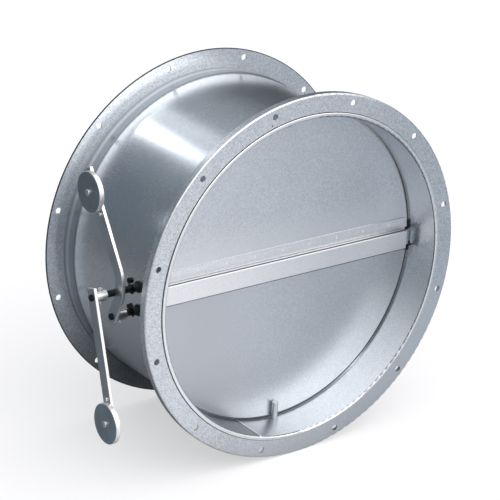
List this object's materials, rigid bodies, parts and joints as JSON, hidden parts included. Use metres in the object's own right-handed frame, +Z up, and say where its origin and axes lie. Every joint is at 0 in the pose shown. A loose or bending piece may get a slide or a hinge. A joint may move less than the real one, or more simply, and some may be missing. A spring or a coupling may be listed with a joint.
{
  "type": "backdraft damper",
  "caption": "Round duct backdraft damper with bolted flanges, half-round swinging blades and weighted levers outside the casing.",
  "frame": {"origin": "middle of the front flange face, on the duct axis", "axes": "+X along the middle bar away from the levers, +Y down the duct from the front flange to the rear flange, +Z up"},
  "size_m": [0.6215, 0.2881, 0.566],
  "materials": {
    "casing_sheet": "hot-dip galvanised sheet, fine spangle",
    "flange_sheet": "hot-dip galvanised sheet, fine spangle",
    "blade_sheet": "hot-dip galvanised sheet, fine spangle",
    "bar_sheet": "hot-dip galvanised sheet, fine spangle",
    "plated_steel": "zinc-plated flat bar",
    "weight_steel": "zinc-plated turned steel",
    "screw_steel": "bright zinc-plated fasteners",
    "blackened_steel": "blackened steel, satin",
    "bush": "black moulded plastic"
  },
  "bodies": {
    "casing": {"bottom_stop_pin": "screw_steel", "bracket_nuts": "screw_steel", "bracket_screws": "screw_steel", "casing_tube": "casing_sheet", "centre_bar": "bar_sheet", "front_flange_ring": "flange_sheet", "left_bar_bracket": "bar_sheet", "lower_left_bush": "bush", "lower_right_bush": "bush", "rear_flange_ring": "flange_sheet", "right_bar_bracket": "bar_sheet", "top_stop_pin": "screw_steel", "upper_left_bush": "bush", "upper_right_bush": "bush"},
    "upper_blade_assembly": {"upper_blade": "blade_sheet", "upper_hinge_strap": "blade_sheet", "upper_hub_screws": "screw_steel", "upper_left_retaining_ring": "blackened_steel", "upper_lever_arm": "plated_steel", "upper_lever_hub": "plated_steel", "upper_lock_screw": "screw_steel", "upper_right_retaining_ring": "blackened_steel", "upper_shaft": "blackened_steel", "upper_strap_screws": "blackened_steel", "upper_weight": "weight_steel", "upper_weight_nut": "screw_steel", "upper_weight_screw": "screw_steel"},
    "lower_blade_assembly": {"lower_blade": "blade_sheet", "lower_hinge_strap": "blade_sheet", "lower_hub_screws": "screw_steel", "lower_left_retaining_ring": "blackened_steel", "lower_lever_arm": "plated_steel", "lower_lever_hub": "plated_steel", "lower_lock_screw": "screw_steel", "lower_right_retaining_ring": "blackened_steel", "lower_shaft": "blackened_steel", "lower_strap_screws": "blackened_steel", "lower_weight": "weight_steel", "lower_weight_nut": "screw_steel", "lower_weight_screw": "screw_steel"}
  },
  "joints": [
    {"name": "upper_blade_swing", "type": "hinge", "parent": "casing", "child": "upper_blade_assembly", "pos_m": [0, 0.068, 0.018], "axis": [-1, 0, 0], "range_deg": [0, 80]},
    {"name": "lower_blade_swing", "type": "hinge", "parent": "casing", "child": "lower_blade_assembly", "pos_m": [0, 0.068, -0.018], "axis": [1, 0, 0], "range_deg": [0, 80]}
  ]
}
